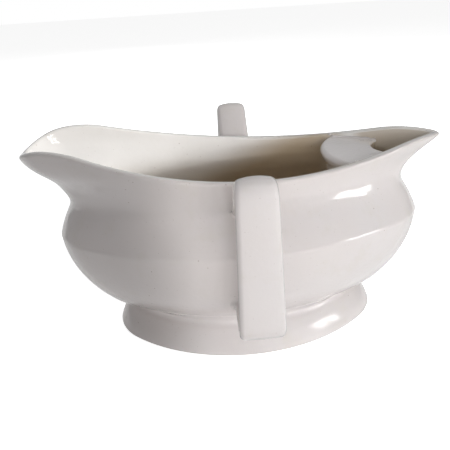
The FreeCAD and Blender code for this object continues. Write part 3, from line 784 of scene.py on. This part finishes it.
# ---------------------------------------------------------------- glaze
class Nodes:
    """A node material in the making, with short calls for the nodes it uses."""

    def __init__(self, name):
        self.material = bpy.data.materials.new(name)
        self.material.use_nodes = True
        self.tree = self.material.node_tree
        self.shader = self.tree.nodes["Principled BSDF"]
        self.place = self.new("ShaderNodeTexCoord").outputs["Object"]

    def new(self, kind, **settings):
        """A new node of a kind, with its settings."""
        node = self.tree.nodes.new(kind)
        for name, value in settings.items():
            setattr(node, name, value)
        return node

    def put(self, socket, value):
        """Set a socket to a number or colour, or link another socket to it."""
        if hasattr(value, "is_output"):
            self.tree.links.new(value, socket)
        else:
            socket.default_value = value

    def noise(self, scale, detail=2.0, roughness=0.5, stretch=None):
        """Soft noise of so many waves to the metre, longer one way where stretch is given."""
        node = self.new("ShaderNodeTexNoise")
        place = self.place
        if stretch:
            mapping = self.new("ShaderNodeMapping")
            mapping.inputs["Scale"].default_value = stretch
            self.put(mapping.inputs["Vector"], self.place)
            place = mapping.outputs["Vector"]
        self.put(node.inputs["Vector"], place)
        node.inputs["Scale"].default_value = scale
        node.inputs["Detail"].default_value = detail
        node.inputs["Roughness"].default_value = roughness
        return node.outputs["Fac"]

    def dots(self, scale, size):
        """Round dots: 1 in the middle of each and 0 between them."""
        node = self.new("ShaderNodeTexVoronoi")
        self.put(node.inputs["Vector"], self.place)
        node.inputs["Scale"].default_value = scale
        inside = self.ramp(node.outputs["Distance"], size, 0.4 * size)
        some = self.ramp(self.channel(node.outputs["Color"]), 0.80, 0.84)
        return self.math("MULTIPLY", inside, some)

    def channel(self, colour):
        """One number out of a colour."""
        node = self.new("ShaderNodeSeparateColor")
        self.put(node.inputs["Color"], colour)
        return node.outputs["Red"]

    def ramp(self, value, low, high, to_low=0.0, to_high=1.0):
        """A smooth rise from to_low where the value is low to to_high where it is high."""
        node = self.new("ShaderNodeMapRange", interpolation_type="SMOOTHSTEP")
        numbers = (low, high, to_low, to_high)
        if low > high:
            numbers = (high, low, to_high, to_low)
        self.put(node.inputs["Value"], value)
        for name, number in zip(("From Min", "From Max", "To Min", "To Max"), numbers):
            node.inputs[name].default_value = number
        return node.outputs["Result"]

    def math(self, operation, first, second):
        """The result of an operation on two numbers."""
        node = self.new("ShaderNodeMath", operation=operation)
        self.put(node.inputs[0], first)
        self.put(node.inputs[1], second)
        return node.outputs["Value"]

    def mix(self, share, first, second):
        """The first colour, or the second where the share is 1."""
        node = self.new("ShaderNodeMix", data_type="RGBA")
        self.put(node.inputs["Factor"], share)
        self.put(node.inputs["A"], first)
        self.put(node.inputs["B"], second)
        return node.outputs["Result"]

    def painted(self, name):
        """A number painted on the points of the mesh."""
        return self.new("ShaderNodeAttribute", attribute_name=name).outputs["Fac"]

    def along(self):
        """How far along +X the place is, in metres."""
        node = self.new("ShaderNodeSeparateXYZ")
        self.put(node.inputs["Vector"], self.place)
        return node.outputs["X"]

    def bump(self, height, distance, below=None):
        """A relief of so many metres, on top of the one below it."""
        node = self.new("ShaderNodeBump")
        self.put(node.inputs["Height"], height)
        node.inputs["Distance"].default_value = distance
        if below is not None:
            self.put(node.inputs["Normal"], below)
        return node.outputs["Normal"]


WARM_WHITE = (0.79, 0.738, 0.722, 1.0)
COOL_WHITE = (0.80, 0.758, 0.752, 1.0)
# The lighter white painted on the inside as painted light; the glaze is the same inside and out.
LIT_INSIDE_WHITE = (0.87, 0.845, 0.815, 1.0)
CREAM = (0.74, 0.69, 0.63, 1.0)
# The brown of the shade painted deep inside the bowl and in the duct.
PAINTED_SHADE_BROWN = (0.43, 0.32, 0.19, 1.0)
CLAY = (0.62, 0.47, 0.36, 1.0)
IRON = (0.25, 0.17, 0.11, 1.0)
# The most that the clouds of cream, the brown painted shade in the bowl and in the duct, the thin edges
# and the specks change the colour.
CREAM_MOST = 0.35
SHADE_MOST = 0.85
DUCT_SHADE_MOST = 0.75
THIN_MOST = 0.45
SPECK_MOST = 0.55
# The brown painted shade climbs towards +X: by this much of the painted depth for each metre.
SHADE_TILT = 9.0
# Heights of the relief in metres.
WAVE_HIGH = 0.0012
PEEL_HIGH = 0.00006
PIT_DEEP = 0.00008
# The glaze is smooth where it is glossiest and rougher in patches; bare clay is rough.
GLOSSY = 0.09
LESS_GLOSSY = 0.14
STREAKS_MOST = 0.06
BARE_ROUGH = 0.5
COAT_ROUGH = 0.02
GLASS_IOR = 1.5


def body_colour(n, depth):
    """A warm white with cooler clouds and cream patches, and a lighter white painted inside as painted
    light.
    """
    cloud = n.ramp(n.noise(14.0, 3.0), 0.35, 0.65)
    colour = n.mix(cloud, WARM_WHITE, COOL_WHITE)
    patch = n.ramp(n.noise(55.0, 4.0, 0.6), 0.52, 0.72, 0.0, CREAM_MOST)
    colour = n.mix(patch, colour, CREAM)
    # Painted light: the inside is painted a lighter white than the outside.
    return n.mix(n.ramp(depth, 0.0, 0.1), colour, LIT_INSIDE_WHITE)


def painted_shade(n, depth):
    """How much brown shade is painted: low in the bowl, and in the duct behind the separator."""
    along = n.along()
    lower = n.math("ADD", depth, n.math("MULTIPLY", along, SHADE_TILT))
    bowl = n.math("MULTIPLY", n.ramp(lower, 0.3, 0.7, 0.0, SHADE_MOST), n.ramp(depth, 0.06, 0.16))
    bowl = n.math("MULTIPLY", bowl, n.ramp(along, 0.068, 0.050))
    duct = n.math("MULTIPLY", n.ramp(depth, 0.14, 0.40, 0.0, DUCT_SHADE_MOST), n.ramp(along, 0.066, 0.074))
    return n.math("MAXIMUM", bowl, duct)


def glaze_colour(n, depth, bare):
    """The body under brown painted shade, with cream thin edges, iron specks and bare clay."""
    # Painted shade: a brown tint, darker deeper in the bowl and in the duct.
    colour = n.mix(painted_shade(n, depth), body_colour(n, depth), PAINTED_SHADE_BROWN)
    broken = n.ramp(n.noise(160.0, 3.0), 0.40, 0.70, 0.1, 0.5)
    thin = n.math("MULTIPLY", n.painted("edge"), broken)
    colour = n.mix(n.math("MULTIPLY", thin, THIN_MOST), colour, CREAM)
    specks = n.math("MAXIMUM", n.dots(260.0, 0.10), n.dots(620.0, 0.12))
    colour = n.mix(n.math("MULTIPLY", specks, SPECK_MOST), colour, IRON)
    return n.mix(bare, colour, CLAY)


def glaze_roughness(n, bare):
    """Nearly smooth, with faint upright streaks, and rough on bare clay."""
    streaks = n.ramp(n.noise(90.0, 5.0, 0.65, (1.0, 1.0, 0.25)), 0.4, 0.75, 0.0, STREAKS_MOST)
    rough = n.math("ADD", n.ramp(n.noise(30.0, 3.0), 0.3, 0.7, GLOSSY, LESS_GLOSSY), streaks)
    return n.math("ADD", rough, n.math("MULTIPLY", bare, BARE_ROUGH))


def glaze():
    """Clear glossy glaze over a warm white body: mottled, specked, and thin along the edges."""
    n = Nodes("glazed_ceramic")
    depth = n.painted("inside")
    bare = n.ramp(depth, -0.2, -0.7)
    n.put(n.shader.inputs["Base Color"], glaze_colour(n, depth, bare))
    n.put(n.shader.inputs["Roughness"], glaze_roughness(n, bare))
    waves = n.bump(n.noise(22.0, 1.0), WAVE_HIGH)
    peel = n.bump(n.noise(420.0, 1.5), PEEL_HIGH, waves)
    pits = n.bump(n.math("SUBTRACT", 1.0, n.dots(900.0, 0.16)), PIT_DEEP, peel)
    n.put(n.shader.inputs["Normal"], pits)
    n.put(n.shader.inputs["Coat Normal"], peel)
    n.shader.inputs["IOR"].default_value = GLASS_IOR
    n.shader.inputs["Coat IOR"].default_value = GLASS_IOR
    n.shader.inputs["Coat Weight"].default_value = 1.0
    n.shader.inputs["Coat Roughness"].default_value = COAT_ROUGH
    return n.material


# ---------------------------------------------------------------- floor, light and camera
WHITE = (1.0, 1.0, 1.0)
FLOOR_HALF = 4.0
FLOOR_DARK = (0.90, 0.90, 0.90, 1.0)
FLOOR_LIGHT = (0.92, 0.92, 0.915, 1.0)
FLOOR_ROUGH = 0.9
# The floor's glow for the camera, and the share of it that shows in the glaze.
FLOOR_GLOW = 0.85
FLOOR_SHINE = 0.3
# The world's strength as light, in the glaze, and for the camera.
ROOM_LIGHT = 0.06
ROOM_SHINE = 0.4
ROOM_SEEN = 1.0


def make_floor():
    """A plain pale floor, large enough for every view, which the camera sees nearly white."""
    work = bmesh.new()
    bmesh.ops.create_grid(work, x_segments=8, y_segments=8, size=FLOOR_HALF)
    mesh = bpy.data.meshes.new("floor")
    work.to_mesh(mesh)
    work.free()
    floor = bpy.data.objects.new("floor", mesh)
    bpy.context.scene.collection.objects.link(floor)
    n = Nodes("pale_floor")
    tone = n.mix(n.ramp(n.noise(6.0), 0.3, 0.7), FLOOR_DARK, FLOOR_LIGHT)
    n.put(n.shader.inputs["Base Color"], tone)
    n.shader.inputs["Roughness"].default_value = FLOOR_ROUGH
    path = n.new("ShaderNodeLightPath").outputs
    mirrored = n.math("MULTIPLY", path["Is Glossy Ray"], FLOOR_SHINE)
    seen = n.math("MAXIMUM", path["Is Camera Ray"], mirrored)
    n.shader.inputs["Emission Color"].default_value = (*WHITE, 1.0)
    n.put(n.shader.inputs["Emission Strength"], n.math("MULTIPLY", seen, FLOOR_GLOW))
    mesh.materials.append(n.material)


def make_world():
    """White where the camera looks past the floor, and a dim room for the light."""
    world = bpy.data.worlds.new("studio")
    world.use_nodes = True
    tree = world.node_tree
    room = tree.nodes["Background"]
    room.inputs["Color"].default_value = (*WHITE, 1.0)
    path = tree.nodes.new("ShaderNodeLightPath")
    shine = tree.nodes.new("ShaderNodeMapRange")
    shine.inputs["To Min"].default_value = ROOM_LIGHT
    shine.inputs["To Max"].default_value = ROOM_SHINE
    tree.links.new(path.outputs["Is Glossy Ray"], shine.inputs["Value"])
    level = tree.nodes.new("ShaderNodeMapRange")
    tree.links.new(shine.outputs["Result"], level.inputs["To Min"])
    level.inputs["To Max"].default_value = ROOM_SEEN
    tree.links.new(path.outputs["Is Camera Ray"], level.inputs["Value"])
    tree.links.new(level.outputs["Result"], room.inputs["Strength"])
    bpy.context.scene.world = world


MIDDLE_UP = 0.06
LAMP_AWAY = 1.3
# The window is a low grid of panes: where it hangs, the panes' spacing and size, power and colour.
WINDOW_AZIMUTH = 60.0
WINDOW_HEIGHT = 15.0
PANE_ROWS = (-1, 0, 1)
PANE_COLUMNS = (-0.5, 0.5)
PANE_ACROSS = 0.21
PANE_UP = 0.15
PANE_WIDE = 0.165
PANE_HIGH = 0.095
PANE_POWER = 0.45
DAYLIGHT = (1.0, 0.99, 0.975)
# Large square lamps: name, azimuth, height, side in metres, power in watts and colour.
SOFT_LAMPS = (
    ("fill", -20.0, 12.0, 1.0, 2.9, (1.0, 0.965, 0.955)),
    ("rear", 205.0, 35.0, 1.0, 3.0, WHITE),
    ("sky", 25.0, 72.0, 0.45, 2.1, (0.97, 0.985, 1.0)),
    ("behind", 160.0, 28.0, 1.0, 5.0, WHITE),
    ("back", 98.0, 22.0, 0.6, 1.4, WHITE),
)
# The front lamps: all their beams end on the -X side at one upright edge through this place.
SHADE_EDGE = (-0.058, -0.045, 0.05)
FRONT_AZIMUTHS = (-4.0, 4.0, 12.0, 20.0, 28.0)
FRONT_HEIGHTS = (4.0, 10.0, 16.0)
FRONT_ANGLE = 28.0
FRONT_BLEND = 0.22
FRONT_POWER = 2.0
# The lamp that lights the inside of the wide lip: azimuth and height, and what it is aimed at.
INSIDE_PLACE = (80.0, 25.0)
INSIDE_AIM = (-0.07, 0.012, 0.09)
INSIDE_ANGLE = 4.6
INSIDE_BLEND = 0.8
INSIDE_POWER = 52.0
BEAM_RADIUS = 0.015


def around(azimuth, height):
    """A place for a lamp: azimuth from the front towards +X, and height above the horizon."""
    turn, rise = math.radians(azimuth), math.radians(height)
    flat = math.cos(rise) * LAMP_AWAY
    up = MIDDLE_UP + math.sin(rise) * LAMP_AWAY
    return Vector((math.sin(turn) * flat, -math.cos(turn) * flat, up))


def hang(name, data, place, aim, glossy):
    """Hang a lamp at a place, facing its aim; it shows in the glaze only if it is glossy."""
    lamp = bpy.data.objects.new(name, data)
    lamp.location = place
    lamp.rotation_mode = "QUATERNION"
    lamp.rotation_quaternion = (aim - place).to_track_quat("-Z", "Y")
    lamp.visible_glossy = glossy
    bpy.context.scene.collection.objects.link(lamp)


def area(name, place, wide, high, power, colour, glossy):
    """A rectangular lamp that faces the object."""
    data = bpy.data.lights.new(name, "AREA")
    data.shape = "RECTANGLE"
    data.size, data.size_y = wide, high
    data.energy = power
    data.color = colour
    hang(name, data, place, Vector((0.0, 0.0, MIDDLE_UP)), glossy)


def beam(name, place, aim, angle, blend, power):
    """A lamp with a soft-edged beam, which lights the glaze but does not show in it."""
    data = bpy.data.lights.new(name, "SPOT")
    data.spot_size = math.radians(angle)
    data.spot_blend = blend
    data.shadow_soft_size = BEAM_RADIUS
    data.energy = power
    hang(name, data, place, aim, False)


def make_window():
    """A low paned window on the +X side, the only lamp that shows in the glaze."""
    middle = around(WINDOW_AZIMUTH, WINDOW_HEIGHT)
    ahead = Vector((0.0, 0.0, MIDDLE_UP)) - middle
    side = ahead.cross(Vector((0.0, 0.0, 1.0))).normalized()
    up = side.cross(ahead).normalized()
    for row in PANE_ROWS:
        for column in PANE_COLUMNS:
            place = middle + side * column * PANE_ACROSS + up * row * PANE_UP
            area("window", place, PANE_WIDE, PANE_HIGH, PANE_POWER, DAYLIGHT, True)


def make_front_lamps():
    """An array of lamps in front whose beams stop at one edge, so that the -X end stays in shade."""
    edge = Vector(SHADE_EDGE)
    for azimuth in FRONT_AZIMUTHS:
        for height in FRONT_HEIGHTS:
            place = around(azimuth, height)
            ray = edge - place
            sideways = ray.cross(Vector((0.0, 0.0, 1.0))).normalized()
            aim = edge + sideways * ray.length * math.tan(math.radians(FRONT_ANGLE / 2))
            beam("front", place, aim, FRONT_ANGLE, FRONT_BLEND, FRONT_POWER)


def make_lights():
    """The window, the large soft lamps, the front lamps and the lamp for the wide lip."""
    make_window()
    for name, azimuth, height, size, power, colour in SOFT_LAMPS:
        area(name, around(azimuth, height), size, size, power, colour, False)
    make_front_lamps()
    beam("inside", around(*INSIDE_PLACE), Vector(INSIDE_AIM), INSIDE_ANGLE, INSIDE_BLEND, INSIDE_POWER)


# The camera's place as azimuth, height and roll in degrees and its distance from its target, and
# its lens in millimetres with the shift that frames the object.
CAMERA_TURNS = (-3.415, 26.035, -3.562)
CAMERA_AWAY = 0.2951
CAMERA_TARGET = (0.0, 0.0, 0.045)
SENSOR = 36.0
LENS = 41.45
SHIFT_X = -0.0366
SHIFT_Y = 0.0268
CLIP_START = 0.01


def make_camera():
    """The camera, turned round the object and up from the horizon, with a slight roll."""
    azimuth, height, roll = (math.radians(angle) for angle in CAMERA_TURNS)
    forward = Vector((
        -math.sin(azimuth) * math.cos(height),
        math.cos(azimuth) * math.cos(height),
        -math.sin(height),
    ))
    level = forward.cross(Vector((0.0, 0.0, 1.0))).normalized()
    upright = level.cross(forward)
    right = math.cos(roll) * level + math.sin(roll) * upright
    up = math.cos(roll) * upright - math.sin(roll) * level
    data = bpy.data.cameras.new("camera")
    data.sensor_width = SENSOR
    data.lens = LENS
    data.shift_x = SHIFT_X
    data.shift_y = SHIFT_Y
    data.clip_start = CLIP_START
    camera = bpy.data.objects.new("camera", data)
    bpy.context.scene.collection.objects.link(camera)
    turn = Matrix((right, up, -forward)).transposed().to_4x4()
    camera.matrix_world = Matrix.Translation(Vector(CAMERA_TARGET) - forward * CAMERA_AWAY) @ turn
    bpy.context.scene.camera = camera


glazed = glaze()
bowl = bowl_grid()
bowl_tree = bowl.tree()
bowl.make(glazed, "bowl_shell")
foot_grid().make(glazed, "foot_ring")
handle_grid("handle_rear", 1, bowl_tree).make(glazed, "rear_handle")
handle_grid("handle_front", -1, bowl_tree).make(glazed, "front_handle")
separator_grid(bowl_tree).make(glazed, "separator")
make_floor()
make_world()
make_lights()
make_camera()
bpy.context.scene.view_settings.view_transform = "Standard"
